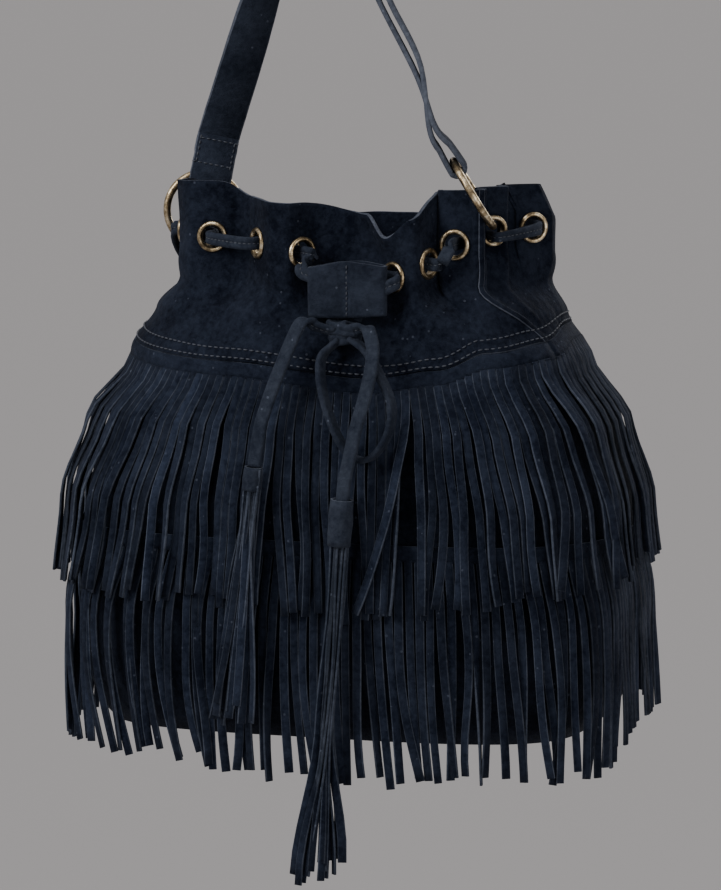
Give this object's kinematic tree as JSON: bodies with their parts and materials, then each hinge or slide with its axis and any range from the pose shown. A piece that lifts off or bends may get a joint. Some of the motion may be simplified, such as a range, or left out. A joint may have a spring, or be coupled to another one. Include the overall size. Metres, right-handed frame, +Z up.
{
  "type": "fringed suede bucket bag",
  "caption": "Drawstring suede bucket bag with two tiers of cut fringe, brass eyelets, laced neck, keeper, tassels and a shoulder strap on brass rings, shown hanging.",
  "frame": {"origin": "underside of the strap's top, where the bag hangs on a hook or peg", "axes": "+Z up; the keeper side of the bag faces -Y; X runs across the bag's width"},
  "size_m": [0.2624, 0.1868, 0.4508],
  "materials": {
    "suede": "matte navy black suede nap",
    "fringe": "matte navy black suede strands with paler cut edges",
    "lace": "matte folded and stitched suede lace",
    "brass": "antique, lightly tarnished"
  },
  "bodies": {
    "root": {"strap": "suede", "yoke_front": "suede", "yoke_back": "suede", "body_front": "suede", "body_back": "suede", "base_panel": "suede", "fringe_upper_front": "fringe", "fringe_upper_back": "fringe", "fringe_lower_front": "fringe", "fringe_lower_back": "fringe", "drawstring": "lace", "drawstring_knot": "lace", "drawstring_end_left": "lace", "drawstring_end_right": "lace", "drawstring_loop": "lace", "keeper": "lace", "tassel_left": "fringe", "tassel_right": "fringe", "grommet_01": "brass", "grommet_02": "brass", "grommet_03": "brass", "grommet_04": "brass", "grommet_05": "brass", "grommet_06": "brass", "grommet_07": "brass", "grommet_08": "brass", "grommet_09": "brass", "grommet_10": "brass", "grommet_11": "brass", "grommet_12": "brass", "grommet_13": "brass", "grommet_14": "brass", "grommet_15": "brass", "grommet_16": "brass"},
    "ring_left": {"strap_ring_left": "brass"},
    "ring_right": {"strap_ring_right": "brass"}
  },
  "joints": [
    {"name": "ring_left_turn", "type": "hinge", "parent": "root", "child": "ring_left", "pos_m": [-0.06434, 0.02982, -0.15882], "axis": [-0.2924, 0.9563, 0], "continuous": true},
    {"name": "ring_right_turn", "type": "hinge", "parent": "root", "child": "ring_right", "pos_m": [0.0752, -0.01462, -0.14299], "axis": [-0.815, -0.2492, -0.5232], "continuous": true}
  ]
}
